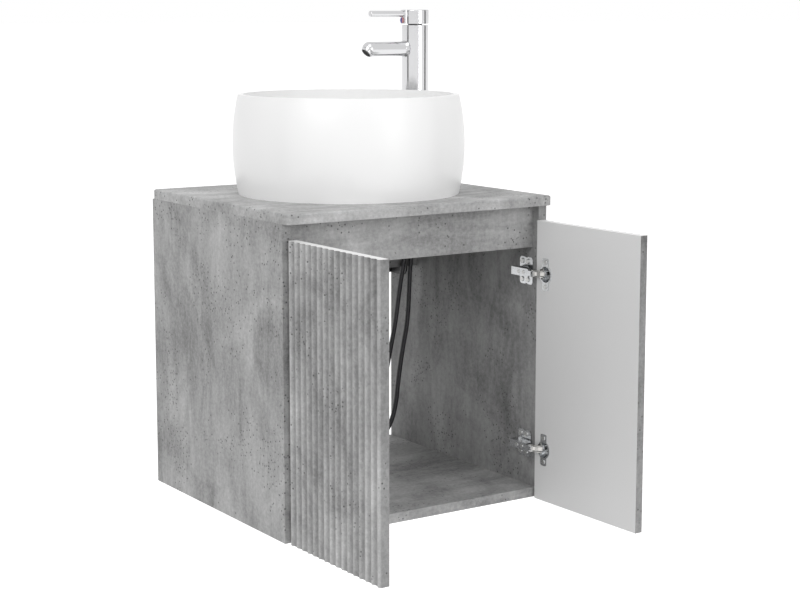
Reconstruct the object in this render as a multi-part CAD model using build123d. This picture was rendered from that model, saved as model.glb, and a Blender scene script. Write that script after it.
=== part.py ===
# Wall-hung vanity unit: a board cabinet with two fluted doors on concealed hinges,
# a worktop, a round countertop basin with its click waste, and a tall mixer tap.
# Millimetres. X runs to the right seen from the room, Y towards the wall, Z up.
# The origin is on the wall plane, in the middle of the four wall fixing holes.
# The doors are drawn closed and then swung to the open position of the photograph.

import os
from math import asin, atan2, cos, degrees, hypot, pi, radians, sin, sqrt, tan

from build123d import *

# Cabinet boards
cabinet_width = 470
side_depth = 415
side_height = 462
board = 15
worktop_overhang = 15
worktop_corner = 8
worktop_edge_round = 2.5
front_rail_height = 67
front_rail_setback = 15
rear_rail_height = 134
pipe_space = 66

# Wall brackets
hanging_level = 357
bracket_height = 100
bracket_leg = 50
bracket_flange = 25
bracket_steel = 2
wall_hole_from_side = 15
wall_hole_spacing_z = 60
wall_hole_radius = 3.25
bracket_screw_radius = 2

# Board fittings: cam lock, cam bolt and wood dowel
cam_distance = 24
cam_radius = 7.4
cam_depth = 12.2
cam_bolt_radius = 2.2
cam_bolt_head = 3.2
cam_thread_radius = 2.9
cam_thread_length = 10.5
dowel_radius = 4
dowel_length = 29
dowel_in_face = 10.5
fitting_clearance = 0.1
fitting_inset = 60
dowel_inset = 110

# Doors
door_top_gap = 23
door_drop = 1
door_side_reveal = 1
door_centre_gap = 2
door_gap = 3
door_edge_round = 4
flute_count = 15
flute_depth = 2.5
flute_land = 5
flute_ridge_radius = 4

# Concealed hinges. Places are measured from the inner front corner of the side
# panel: outward through the board, and backward from its front edge.
hinge_inset = 82
cup_radius = 13
cup_wall = 0.7
cup_depth = 10.6
cup_from_edge = 22
cup_clearance = 0.1
flange_thickness = 1.2
flange_width = 14
flange_length = 50
flange_lip = 1
cup_screw_spacing = 38
cup_screw_radius = 1.9
outer_pin = (-15.5, -5.0)
inner_pin = (-15.0, -8.5)
cup_pin_from_edge = 12.5
cup_pin_depth = 2.4
far_cup_pin_from_edge = 13
far_cup_pin_depth = 5.0
outer_link_ratio = -0.4835
inner_link_ratio = -0.40
arm_pin_radius = 0.9
cup_pin_radius = 0.7
lug_inside = 3.2
lug_outside = 4.1
lug_half_width = 1.3
pin_clearance = 0.05
inner_link_half = 3.0
nose_inside = 3.2
nose_outside = 4.1
ear_inside = 4.3
ear_outside = 5.4
eye_radius = 2.0
link_half_width = 1.25
link_web_inside = 2.9
link_web_outside = 4.1
inner_link_half_width = 1.0
arm_top = 18.6
arm_steel = 1.2
arm_half_height = 6.2
arm_rear = 44
spine_half_height = 4.4
spine_top = 9.5
plate_steel = 1.5
plate_front = 12
plate_rear = 44
plate_height = 43
plate_corner = 5
plate_screw_rows = (24, 38)
plate_screw_spacing = 28.6
plate_screw_radius = 2
plate_screw_length = 11
adjusting_screw_rows = (13.5, 25.5)
adjusting_screw_radius = 2.8

# Open position of the photograph, and the stop
right_door_open = 91.3
left_door_open = 89.3

# Basin
basin_height = 154
basin_side_margin = 54
basin_belly = 9
basin_rim_width = 9
basin_foot_width = 25
basin_floor = 20
drain_radius = 23
drain_recess_radius = 33
drain_recess = 3

# Click waste
waste_flange_radius = 32
waste_flange = 2.5
waste_tube_radius = 20.9
waste_bore = 17
waste_seal = 1
waste_washer = 3
waste_nut_height = 10
waste_nut_radius = 32
waste_tube_length = 70
worktop_waste_radius = 25
tail_radius = 16
tail_wall = 1.2
tail_length = 100
tail_insert = 12
tail_spigot_step = 0.6
tail_spigot_gap = 3
plug_radius = 30.5
plug_thickness = 4
plug_gap = 0.6
plug_stem_radius = 4
plug_stem_foot = -34
plug_travel = 8

# Mixer tap
tap_side_gap = 2.5
tap_rail_gap = 7.5
tap_radius = 22.4
tap_body_top = 258.5
tap_seam = 2
tap_cap_top = 283.6
tap_neck_radius = 12
tap_neck_top = 262.5
cap_wall = 2.2
cap_roof = 275
cap_edge_round = 1.5
lever_level = 276.8
lever_radius = 5
lever_reach = 89
lever_boss_reach = 25
lever_boss_width = 15
mark_radius = 4.8
mark_level = 266.4
mark_thickness = 1.4
tilt_pivot_back = 17
tilt_pivot_level = 262.8
tilt_pin_radius = 1.2
tilt_block_half_width = 4
tilt_ear_inside = 4.3
tilt_ear_outside = 7
tilt_ear_half = 2
spout_level = 219.5
spout_radius = 12.4
spout_reach = 90
spout_flare = 1.5
aerator_radius = 10.4
aerator_start = 5
aerator_end = 9.4
tap_seal = 1
tap_hole_radius = 17.5
stud_radius = 3.9
stud_length = 70
stud_back = 9.5
clamp_rubber = 3
clamp_steel = 2
clamp_radius = 22.5
tap_nut_radius = 6.5
tap_nut_height = 14

# Supply hoses
hose_radius = 4
hose_socket = 12
hose_end_nut_radius = 9.5
hose_end_thread_radius = 7.6
hose_end_nut_length = 14
hose_end_collar_radius = 5.2
hose_end_collar_length = 12

# Levels and lines that follow from the sizes above
underside = -hanging_level
side_top = underside + side_height
worktop_top = side_top + board
front_edge = -side_depth
half_width = cabinet_width / 2
half_inside = half_width - board
floor_top = underside + board
door_bottom = underside - door_drop
door_height = side_height + door_drop - door_top_gap
door_width = half_width - door_side_reveal - door_centre_gap / 2
hinge_levels = {"upper": door_bottom + door_height - hinge_inset, "lower": door_bottom + hinge_inset}
basin_y = (front_edge - worktop_overhang) / 2
basin_belly_radius = half_width - basin_side_margin
basin_rim_radius = basin_belly_radius - basin_belly
basin_foot_radius = basin_belly_radius - basin_belly
tap_x = half_inside - clamp_radius - tap_side_gap
tap_y = -pipe_space - board - clamp_radius - tap_rail_gap

MIDDLE_MIN = (Align.CENTER, Align.CENTER, Align.MIN)


def block(x, y, z):
    """A box between two limits on each axis."""
    size = (x[1] - x[0], y[1] - y[0], z[1] - z[0])
    return Pos(x[0], y[0], z[0]) * Box(*size, align=(Align.MIN, Align.MIN, Align.MIN))


def rod(start, direction, radius, length):
    """A round bar from a point along a direction."""
    return Plane(origin=start, z_dir=direction) * Cylinder(radius, length, align=MIDDLE_MIN)


def turned(points):
    """A turned piece from a closed outline of (radius, height) points about Z."""
    return revolve(Plane.XZ * make_face(Polyline(*points, close=True)), Axis.Z)


def save(node, *solids):
    """Write one sub-part, a single solid or a group of equal ones."""
    shape = solids[0] if len(solids) == 1 else Compound(children=list(solids))
    shape.label = node
    export_step(shape, f"parts/{node}.step")


def mirrored(solid):
    """The same piece on the left side of the cabinet."""
    return mirror(solid, about=Plane.YZ)


os.makedirs("parts", exist_ok=True)


# Board fittings. Each stands at the joint face, with local Z running out of the end
# of one board into the face of the other and local X out of the cam's face.
def cam_lock():
    shell = Pos(board / 2 - 0.2, 0, -cam_distance) * Rot(0, -90, 0) * Cylinder(
        cam_radius, cam_depth, align=MIDDLE_MIN
    )
    pocket = Box(2 * cam_bolt_head + 1, 2 * cam_bolt_head + 1, cam_radius + cam_bolt_head + 1)
    pocket_start = Pos(0, 0, -cam_distance + (cam_radius - cam_bolt_head) / 2)
    drive = Pos(board / 2, 0, -cam_distance) * Box(2, 1.2, 8)
    return shell - pocket_start * pocket - drive


def cam_bolt():
    head = Pos(0, 0, -cam_distance) * Cylinder(cam_bolt_head, 2.4)
    neck = Pos(0, 0, -cam_distance) * Cylinder(cam_bolt_radius, cam_distance, align=MIDDLE_MIN)
    thread = Cylinder(cam_thread_radius, cam_thread_length, align=MIDDLE_MIN)
    return head + neck + thread


def cam_end_bores():
    lock = Pos(board / 2 + 1, 0, -cam_distance) * Rot(0, -90, 0) * Cylinder(
        cam_radius + fitting_clearance, cam_depth + 1.3, align=MIDDLE_MIN
    )
    return lock + Pos(0, 0, -cam_distance) * Cylinder(
        cam_bolt_head + 2 * fitting_clearance, cam_distance + 1, align=MIDDLE_MIN
    )


def cam_face_bore():
    return Pos(0, 0, -1) * Cylinder(
        cam_thread_radius + fitting_clearance, cam_thread_length + 1.5, align=MIDDLE_MIN
    )


def wood_dowel():
    return Pos(0, 0, dowel_in_face - dowel_length) * Cylinder(
        dowel_radius - fitting_clearance, dowel_length, align=MIDDLE_MIN
    )


def dowel_bore():
    return Pos(0, 0, dowel_in_face - dowel_length - 0.5) * Cylinder(
        dowel_radius, dowel_length + 1, align=MIDDLE_MIN
    )


rail_y = front_edge + front_rail_setback + board / 2
rear_rail_y = -pipe_space - board / 2
front_rail_bottom = side_top - front_rail_height
rear_rail_bottom = side_top - rear_rail_height


def end_plane(side, y, z, cam_face):
    return Plane(origin=(side * half_inside, y, z), x_dir=cam_face, z_dir=(side, 0, 0))


def top_plane(side, y):
    return Plane(origin=(side * (half_inside + board / 2), y, side_top), x_dir=(-side, 0, 0), z_dir=(0, 0, 1))


floor_mid = underside + board / 2
down, to_wall = (0, 0, -1), (0, 1, 0)
cams = {"floor": [], "front": [], "rear": [], "top": []}
dowels = {"floor": [], "front": [], "rear": [], "top": []}
for side in (-1, 1):
    for y in (front_edge + fitting_inset, -fitting_inset):
        cams["floor"].append(end_plane(side, y, floor_mid, down))
        cams["top"].append(top_plane(side, y))
    dowels["floor"].append(end_plane(side, front_edge + dowel_inset, floor_mid, down))
    dowels["top"].append(top_plane(side, front_edge + dowel_inset))
    cams["front"].append(end_plane(side, rail_y, side_top - front_rail_height / 3, to_wall))
    dowels["front"].append(end_plane(side, rail_y, front_rail_bottom + front_rail_height / 4, to_wall))
    cams["rear"].append(end_plane(side, rear_rail_y, side_top - rear_rail_height / 3, to_wall))
    dowels["rear"].append(end_plane(side, rear_rail_y, rear_rail_bottom + rear_rail_height / 4, to_wall))

all_cams = cams["floor"] + cams["front"] + cams["rear"] + cams["top"]
all_dowels = dowels["floor"] + dowels["front"] + dowels["rear"] + dowels["top"]
save("cam_locks", *[plane * cam_lock() for plane in all_cams])
save("cam_bolts", *[plane * cam_bolt() for plane in all_cams])
save("wood_dowels", *[plane * wood_dowel() for plane in all_dowels])


def end_drilled(solid, joint):
    for plane in cams[joint]:
        solid -= plane * cam_end_bores()
    for plane in dowels[joint]:
        solid -= plane * dowel_bore()
    return solid


# Wall brackets: bent steel angles, one leg on the side panel and a drilled flange
# on the wall plane, with three screws into the board.
bracket_half = bracket_height / 2
bracket_screw_places = [(-12, -30), (-38, 0), (-12, 30)]


def right_bracket():
    leg = block((half_inside - bracket_steel, half_inside), (-bracket_leg, 0), (-bracket_half, bracket_half))
    flange = block((half_inside - bracket_flange, half_inside), (-bracket_steel, 0), (-bracket_half, bracket_half))
    angle = leg + flange
    corners = angle.edges().filter_by(Axis.X).group_by(Axis.Y)[0]
    angle = fillet(corners, 12)
    outer = angle.edges().filter_by(Axis.Y).group_by(Axis.X)[0]
    angle = fillet(outer, 6)
    for side in (-1, 1):
        hole = (half_inside - wall_hole_from_side, -bracket_steel - 1, side * wall_hole_spacing_z / 2)
        angle -= rod(hole, (0, 1, 0), wall_hole_radius, bracket_steel + 2)
    for y, z in bracket_screw_places:
        angle -= rod((half_inside - bracket_steel - 1, y, z), (1, 0, 0), bracket_screw_radius + 0.2, bracket_steel + 2)
    return angle


def bracket_screw(y, z):
    seat = half_inside - bracket_steel
    head = rod((seat - 2, y, z), (1, 0, 0), 2 * bracket_screw_radius, 2)
    return head + rod((seat, y, z), (1, 0, 0), bracket_screw_radius, plate_screw_length)


save("right_wall_bracket", right_bracket())
save("left_wall_bracket", mirrored(right_bracket()))
bracket_screws = [bracket_screw(y, z) for y, z in bracket_screw_places]
save("bracket_screws", *bracket_screws, *[mirrored(screw) for screw in bracket_screws])

# Concealed hinge, drawn for the right door with the door closed. Local places are
# (outward, backward) from the panel's inner front corner, at hinge height zero.
door_edge = board - door_side_reveal
cup_pin = (door_edge - cup_pin_from_edge, -door_gap - cup_pin_depth)
far_cup_pin = (door_edge - far_cup_pin_from_edge, -door_gap - far_cup_pin_depth)
cup_centre = door_edge - cup_from_edge
link_length = hypot(cup_pin[0] - outer_pin[0], cup_pin[1] - outer_pin[1])
link_start = degrees(atan2(cup_pin[1] - outer_pin[1], cup_pin[0] - outer_pin[0]))


def swing(point, angle):
    """A turn of the hinge frame about a vertical pin."""
    return Pos(point[0], point[1], 0) * Rot(0, 0, angle) * Pos(-point[0], -point[1], 0)


def opened_cup_pin(opening):
    angle = radians(link_start + outer_link_ratio * opening)
    return (outer_pin[0] + link_length * cos(angle), outer_pin[1] + link_length * sin(angle))


def door_motion(opening):
    """Where a door's pieces go when it opens by an angle."""
    pin = opened_cup_pin(opening)
    return Pos(pin[0], pin[1], 0) * Rot(0, 0, opening) * Pos(-cup_pin[0], -cup_pin[1], 0)


def outer_link_motion(opening):
    return swing(outer_pin, outer_link_ratio * opening)


def inner_link_motion(opening):
    return swing(inner_pin, inner_link_ratio * opening)


def slab(sketch, low, high):
    """A flat sketch in the hinge plane, given its height range."""
    return Pos(0, 0, low) * extrude(sketch, high - low, dir=(0, 0, 1))


def disc(centre, radius):
    return Pos(centre[0], centre[1]) * Circle(radius)


def strip(points, half_width):
    """A bar of even width along a bent line, with round ends and corners."""
    bars = disc(points[0], half_width)
    for start, end in zip(points, points[1:]):
        angle = degrees(atan2(end[1] - start[1], end[0] - start[0]))
        length = hypot(end[0] - start[0], end[1] - start[1])
        middle = ((start[0] + end[0]) / 2, (start[1] + end[1]) / 2)
        bars += Pos(middle[0], middle[1]) * Rot(0, 0, angle) * Rectangle(length, 2 * half_width)
        bars += disc(end, half_width)
    return bars


# The outer link hooks round the rim of the cup to its pin. It is two ears joined by
# a web beside the arm pin, so that the inner link passes between them.
hook = [
    outer_pin,
    (outer_pin[0] + 7, outer_pin[1] - 3),
    (cup_pin[0] - 4.6, cup_pin[1] - 4.3),
    (cup_pin[0] - 0.8, cup_pin[1] - 3.4),
    cup_pin,
]


def web_sector(inside, outside):
    ring = disc(outer_pin, outside) - disc(outer_pin, inside)
    reach = 2 * outside
    corner = [
        outer_pin,
        (outer_pin[0] + reach * cos(radians(28)), outer_pin[1] + reach * sin(radians(28))),
        (outer_pin[0] + reach * cos(radians(72)), outer_pin[1] + reach * sin(radians(72))),
    ]
    return ring & make_face(Polyline(*corner, close=True))


def outer_link():
    ear = strip(hook, link_half_width) + disc(outer_pin, eye_radius) + web_sector(0.5, link_web_outside)
    ear -= disc(outer_pin, arm_pin_radius + pin_clearance)
    ear -= disc(cup_pin, cup_pin_radius + pin_clearance)
    link = slab(ear, ear_inside, ear_outside) + slab(ear, -ear_outside, -ear_inside)
    return link + slab(web_sector(link_web_inside, link_web_outside), -ear_inside, ear_inside)


# The inner link dips under the rim of the cup in the same way. Its tip passes just
# behind the deeper cup pin, where the four-bar linkage is opened.
dip = [
    inner_pin,
    (inner_pin[0] + 4.8, inner_pin[1] - 0.7),
    (far_cup_pin[0] - 6.1, far_cup_pin[1] - 3.5),
    (far_cup_pin[0] + 0.1, far_cup_pin[1] - 2.9),
]


def inner_link():
    flat = strip(dip, inner_link_half_width) + disc(inner_pin, eye_radius - 0.2)
    flat -= disc(inner_pin, arm_pin_radius + pin_clearance)
    return slab(flat, -inner_link_half, inner_link_half)


def hinge_cup():
    """The pressed cup with its screwed flange, open to the inside of the cabinet."""
    face = -door_gap
    axis = (0, -1, 0)
    centre = (cup_centre, face, 0)
    shell = rod(centre, axis, cup_radius, cup_depth)
    plate = Pos(cup_centre, face, 0) * Rot(-90, 0, 0) * extrude(
        RectangleRounded(flange_width, flange_length, 3) + Circle(cup_radius + flange_lip), flange_thickness
    )
    shell += plate
    bore_start = (cup_centre, face + flange_thickness + 1, 0)
    bore_depth = flange_thickness + 1 + cup_depth - cup_wall
    shell -= rod(bore_start, axis, cup_radius - cup_wall, bore_depth)
    for side in (-1, 1):
        place = (cup_centre, face + flange_thickness + 1, side * cup_screw_spacing / 2)
        shell -= rod(place, axis, cup_screw_radius + 0.2, flange_thickness + 2)
    lug_foot = (far_cup_pin[0], face - cup_depth + cup_wall / 2)
    lug = strip([far_cup_pin, lug_foot], lug_half_width) & (Pos(cup_centre, face - cup_depth / 2) * Rectangle(2 * cup_radius, cup_depth))
    shell += slab(lug, lug_inside, lug_outside) + slab(lug, -lug_outside, -lug_inside)
    for place, reach in ((cup_pin, cup_radius), (far_cup_pin, lug_outside + 0.1)):
        shell -= rod((place[0], place[1], -reach), (0, 0, 1), cup_pin_radius + pin_clearance, 2 * reach)
    return shell


def hinge_cup_pins():
    """A rivet across the cup, held in its wall, and a shorter one between the lugs."""
    cup_reach = sqrt(cup_radius**2 - (abs(cup_pin[0] - cup_centre) + cup_pin_radius) ** 2)
    pins = []
    for place, reach in ((cup_pin, cup_reach), (far_cup_pin, lug_outside)):
        pins.append(rod((place[0], place[1], -reach), (0, 0, 1), cup_pin_radius, 2 * reach))
    return pins


def hinge_cup_screws():
    face = -door_gap + flange_thickness
    screws = []
    for side in (-1, 1):
        place = (cup_centre, face + 1.2, side * cup_screw_spacing / 2)
        head = rod(place, (0, -1, 0), 1.8 * cup_screw_radius, 1.2)
        screws.append(head + rod(place, (0, -1, 0), cup_screw_radius, 11))
    return screws


def hinge_arm():
    """A folded arm over the mounting plate's spine, with a narrow nose that carries
    the two link pins in front of the cabinet and dips into the cup when it is shut."""
    top = block((-arm_top, -arm_top + arm_steel), (2, arm_rear), (-arm_half_height, arm_half_height))
    nose_top = block((-arm_top, -arm_top + arm_steel), (outer_pin[1], 2), (-nose_outside, nose_outside))
    arm = top + nose_top
    cheek = Polyline(
        (-arm_top, 2), (-arm_top, arm_rear), (-spine_top + 2, arm_rear), (-spine_top + 2, 14), (-arm_top + 4, 2), close=True
    )
    throat = (outer_pin[0] + 0.5, outer_pin[1] + 1)
    nose = Polyline(
        (-arm_top, 6), (throat[0], 6), throat, (inner_pin[0] + 1, inner_pin[1]), (inner_pin[0] - 1.4, inner_pin[1] - 0.6),
        (-arm_top, outer_pin[1]), close=True,
    )
    nose_face = make_face(nose) + disc(outer_pin, eye_radius) + disc(inner_pin, eye_radius - 0.2)
    for side in (-1, 1):
        low, high = sorted((side * (arm_half_height - arm_steel), side * arm_half_height))
        arm += slab(make_face(cheek), low, high)
        low, high = sorted((side * nose_inside, side * nose_outside))
        arm += slab(nose_face, low, high)
    arm += rod((outer_pin[0], outer_pin[1], -ear_outside), (0, 0, 1), arm_pin_radius, 2 * ear_outside)
    arm += rod((inner_pin[0], inner_pin[1], -nose_outside), (0, 0, 1), arm_pin_radius, 2 * nose_outside)
    for y in adjusting_screw_rows:
        arm -= rod((-arm_top - 1, y, 0), (1, 0, 0), adjusting_screw_radius - 0.7, arm_steel + 2)
    return arm


def hinge_plate():
    """The mounting plate: two wings with screws and a raised spine under the arm."""
    middle = (plate_front + plate_rear) / 2
    wings = Rot(0, 90, 0) * extrude(RectangleRounded(plate_height, plate_rear - plate_front, plate_corner), plate_steel)
    plate = Pos(-plate_steel, middle, 0) * wings
    for side in (-1, 1):
        waist = (middle - 1, side * plate_screw_spacing / 2 * 1.75)
        plate -= rod((-plate_steel - 1, waist[0], waist[1]), (1, 0, 0), 5, plate_steel + 2)
    plate += block((-spine_top, -plate_steel), (plate_front - 4, plate_rear + 2), (-spine_half_height, spine_half_height))
    for y in adjusting_screw_rows:
        plate -= rod((-spine_top - 1, y, 0), (1, 0, 0), adjusting_screw_radius - 0.7, spine_top - plate_steel - 1)
    for y, z in plate_screw_places:
        plate -= rod((-plate_steel - 1, y, z), (1, 0, 0), plate_screw_radius + 0.2, plate_steel + 2)
    return plate


plate_screw_places = [(y, side * plate_screw_spacing / 2) for y in plate_screw_rows for side in (-1, 1)]


def hinge_plate_screws():
    screws = []
    for y, z in plate_screw_places:
        head = rod((-plate_steel - 1.5, y, z), (1, 0, 0), 1.9 * plate_screw_radius, 1.5)
        screws.append(head + rod((-plate_steel, y, z), (1, 0, 0), plate_screw_radius, plate_screw_length))
    return screws


def hinge_adjusting_screws():
    screws = []
    for y in adjusting_screw_rows:
        head = rod((-arm_top - 1, y, 0), (1, 0, 0), adjusting_screw_radius, 1)
        shank = rod((-arm_top - 1, y, 0), (1, 0, 0), adjusting_screw_radius - 0.8, arm_top - plate_steel - 1)
        screws.append(head + shank)
    return screws


def at_hinge(level, solid):
    """From the hinge's own frame to its place on the right side panel."""
    return Pos(half_inside, front_edge, level) * solid


opening = {"right": right_door_open, "left": left_door_open}
handed = {"right": lambda solid: solid, "left": mirrored}
plate_screws, adjusting_screws = [], []
cup_pins = {"right": [], "left": []}
cup_screws = {"right": [], "left": []}
inner_links = {"right": [], "left": []}
for side, place in handed.items():
    angle = opening[side]
    for row, level in hinge_levels.items():
        save(f"{side}_{row}_hinge_plate", place(at_hinge(level, hinge_plate())))
        save(f"{side}_{row}_hinge_arm", place(at_hinge(level, hinge_arm())))
        save(f"{side}_{row}_outer_link", place(at_hinge(level, outer_link_motion(angle) * outer_link())))
        save(f"{side}_{row}_hinge_cup", place(at_hinge(level, door_motion(angle) * hinge_cup())))
        inner_links[side].append(place(at_hinge(level, inner_link_motion(angle) * inner_link())))
        plate_screws += [place(at_hinge(level, screw)) for screw in hinge_plate_screws()]
        adjusting_screws += [place(at_hinge(level, screw)) for screw in hinge_adjusting_screws()]
        cup_pins[side] += [place(at_hinge(level, door_motion(angle) * pin)) for pin in hinge_cup_pins()]
        cup_screws[side] += [place(at_hinge(level, door_motion(angle) * screw)) for screw in hinge_cup_screws()]
    save(f"{side}_inner_links", *inner_links[side])
    save(f"{side}_cup_pins", *cup_pins[side])
    save(f"{side}_cup_screws", *cup_screws[side])
save("hinge_plate_screws", *plate_screws)
save("hinge_adjusting_screws", *adjusting_screws)


# Doors: one board each, its outer face milled into upright flutes that run into
# each other over rounded ridges. The outline is the board's level section.
def flute_line(start, face):
    """Arcs of the fluted face, from one edge land to the other, going to the free edge."""
    pitch = (door_width - 2 * flute_land) / flute_count
    slope = 2 * atan2(flute_depth, pitch / 2)
    valley_radius = pitch / 2 / sin(slope) - flute_ridge_radius
    ridge_half = flute_ridge_radius * sin(slope)
    ridge_drop = flute_ridge_radius * (1 - cos(slope))
    half_slope_x = flute_ridge_radius * sin(slope / 2)
    half_slope_y = flute_ridge_radius * (1 - cos(slope / 2))
    assert valley_radius > 0
    arcs = []
    for number in range(flute_count):
        crest = start - number * pitch
        next_crest = crest - pitch
        left = (crest - ridge_half, face + ridge_drop)
        right = (next_crest + ridge_half, face + ridge_drop)
        arcs.append(ThreePointArc((crest, face), (crest - half_slope_x, face + half_slope_y), left))
        arcs.append(ThreePointArc(left, (crest - pitch / 2, face + flute_depth), right))
        arcs.append(ThreePointArc(right, (next_crest + half_slope_x, face + half_slope_y), (next_crest, face)))
    return arcs


def door_section():
    inner, outer = -door_gap, -door_gap - board
    free = door_edge - door_width
    bend = door_edge_round
    corner = bend * (1 - cos(pi / 4))
    lines = [
        Line((free, inner), (door_edge, inner)),
        Line((door_edge, inner), (door_edge, outer + bend)),
        ThreePointArc((door_edge, outer + bend), (door_edge - corner, outer + corner), (door_edge - bend, outer)),
        Line((door_edge - bend, outer), (door_edge - flute_land, outer)),
    ]
    lines += flute_line(door_edge - flute_land, outer)
    lines += [
        Line((free + flute_land, outer), (free + bend, outer)),
        ThreePointArc((free + bend, outer), (free + corner, outer + corner), (free, outer + bend)),
        Line((free, outer + bend), (free, inner)),
    ]
    return make_face(lines)


def door():
    """The right door in the hinge frame, with its foot at height zero."""
    panel = extrude(door_section(), door_height, dir=(0, 0, 1))
    for level in hinge_levels.values():
        height = level - door_bottom
        panel -= rod((cup_centre, -door_gap + 1, height), (0, -1, 0), cup_radius + cup_clearance, cup_depth + 1.2)
        for side in (-1, 1):
            place = (cup_centre, -door_gap + 1, height + side * cup_screw_spacing / 2)
            panel -= rod(place, (0, -1, 0), cup_screw_radius + 0.05, 11)
    return panel


for side, place in handed.items():
    save(f"{side}_door", place(at_hinge(door_bottom, door_motion(opening[side]) * door())))


# Side panels, floor, rails and worktop
def side_panel():
    panel = block((half_inside, half_width), (front_edge, 0), (underside, side_top))
    for joint in ("floor", "front", "rear"):
        for plane in cams[joint]:
            if plane.z_dir.X > 0:
                panel -= plane * cam_face_bore()
        for plane in dowels[joint]:
            if plane.z_dir.X > 0:
                panel -= plane * dowel_bore()
    for plane in cams["top"]:
        if plane.x_dir.X < 0:
            panel -= plane * cam_end_bores()
    for plane in dowels["top"]:
        if plane.x_dir.X < 0:
            panel -= plane * dowel_bore()
    for y, z in bracket_screw_places:
        panel -= rod((half_inside - 1, y, z), (1, 0, 0), bracket_screw_radius + 0.05, plate_screw_length)
    for level in hinge_levels.values():
        for y, z in plate_screw_places:
            place = (half_inside - 1, front_edge + y, level + z)
            panel -= rod(place, (1, 0, 0), plate_screw_radius + 0.05, plate_screw_length)
    return panel


right_panel = side_panel()
save("right_side_panel", right_panel)
save("left_side_panel", mirrored(right_panel))

inside = (-half_inside, half_inside)
save("bottom_panel", end_drilled(block(inside, (front_edge, 0), (underside, floor_top)), "floor"))
front_rail = block(inside, (rail_y - board / 2, rail_y + board / 2), (front_rail_bottom, side_top))
save("front_rail", end_drilled(front_rail, "front"))
rear_rail = block(inside, (rear_rail_y - board / 2, rear_rail_y + board / 2), (rear_rail_bottom, side_top))
save("rear_rail", end_drilled(rear_rail, "rear"))

worktop_front = front_edge - worktop_overhang
worktop = block((-half_width, half_width), (worktop_front, 0), (side_top, worktop_top))
worktop = fillet(worktop.edges().filter_by(Axis.Z), worktop_corner)
worktop = fillet(worktop.edges().group_by(Axis.Z)[-1], worktop_edge_round)
for plane in cams["top"]:
    worktop -= plane * cam_face_bore()
for plane in dowels["top"]:
    worktop -= plane * dowel_bore()
worktop -= rod((0, basin_y, side_top - 1), (0, 0, 1), worktop_waste_radius, board + 2)
worktop -= rod((tap_x, tap_y, side_top - 1), (0, 0, 1), tap_hole_radius, board + 2)
save("worktop", worktop)


# Basin: a glazed drum with bellied sides, a flat crisp rim and a deep round bowl,
# standing on a foot ring and on the boss round its drain.
def basin():
    belly = basin_height / 2
    rim_inside = basin_rim_radius - basin_rim_width
    wall_foot = (basin_belly_radius - 16, belly - 7)
    floor_edge = (basin_rim_radius * 0.55, basin_floor + 2)
    foot_inside = basin_foot_radius - basin_foot_width
    boss = drain_radius + 13
    outside = ThreePointArc((basin_foot_radius, 0), (basin_belly_radius, belly), (basin_rim_radius, basin_height))
    rim = Line(outside @ 1, (rim_inside, basin_height))
    wall = ThreePointArc(rim @ 1, (basin_belly_radius - 11.5, belly + 34), wall_foot)
    bowl = TangentArc(wall @ 1, floor_edge, tangent=wall % 1)
    floor = Polyline(
        bowl @ 1,
        (drain_recess_radius, basin_floor),
        (drain_recess_radius, basin_floor - drain_recess),
        (drain_radius, basin_floor - drain_recess),
        (drain_radius, 0),
        (boss, 0),
        (boss + 2, 7),
        (foot_inside - 3, 7),
        (foot_inside, 0),
        outside @ 0,
    )
    return revolve(Plane.XZ * make_face([outside, rim, wall, bowl, floor]), Axis.Z)


on_worktop = Pos(0, basin_y, worktop_top)
save("basin", on_worktop * basin())

# Click waste: flanged tube through basin and worktop, clamped from below by a nut
seal_level = basin_floor - drain_recess
flange_level = seal_level + waste_seal
flange_top = flange_level + waste_flange
tube_end = flange_level - waste_tube_length
washer_level = -board - waste_washer
tail_spigot_radius = tail_radius - tail_spigot_step


def waste_body():
    body = turned([
        (waste_bore, flange_top - 1), (waste_bore + 3, flange_top), (waste_flange_radius - 1, flange_top),
        (waste_flange_radius, flange_top - 1), (waste_flange_radius, flange_level), (waste_tube_radius, flange_level),
        (waste_tube_radius, tube_end), (tail_spigot_radius + pin_clearance, tube_end),
        (tail_spigot_radius + pin_clearance, tube_end + tail_insert), (waste_bore - 2.5, tube_end + tail_insert),
        (waste_bore - 2.5, -25), (waste_bore, -25),
    ])
    hub_radius = plug_stem_radius + 3
    hub = Pos(0, 0, -20) * Cylinder(hub_radius, 14, align=MIDDLE_MIN)
    for number in range(3):
        spoke = block((0, waste_bore + 1), (-1.2, 1.2), (-18, -8))
        hub += Rot(0, 0, number * 120) * spoke
    return body + hub - Pos(0, 0, -30) * Cylinder(plug_stem_radius + pin_clearance, 60, align=MIDDLE_MIN)


def waste_plug():
    """A domed button on a guide stem that slides in the hub."""
    under = flange_top + plug_gap
    top = under + plug_thickness
    rim = under + plug_thickness * 0.4
    outline = Polyline(
        (0, top), (0, plug_stem_foot), (plug_stem_radius, plug_stem_foot), (plug_stem_radius, under),
        (plug_radius - 1, under), (plug_radius, under + 1), (plug_radius, rim),
    )
    ball = (plug_radius**2 + (top - rim) ** 2) / (top - rim) / 2
    half = asin(plug_radius / ball) / 2
    dome = ThreePointArc((plug_radius, rim), (ball * sin(half), top - ball * (1 - cos(half))), (0, top))
    return revolve(Plane.XZ * make_face([outline, dome]), Axis.Z)


def ring(outside, inside, low, high):
    return Pos(0, 0, low) * (
        Cylinder(outside, high - low, align=MIDDLE_MIN) - Cylinder(inside, high - low, align=MIDDLE_MIN)
    )


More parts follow.
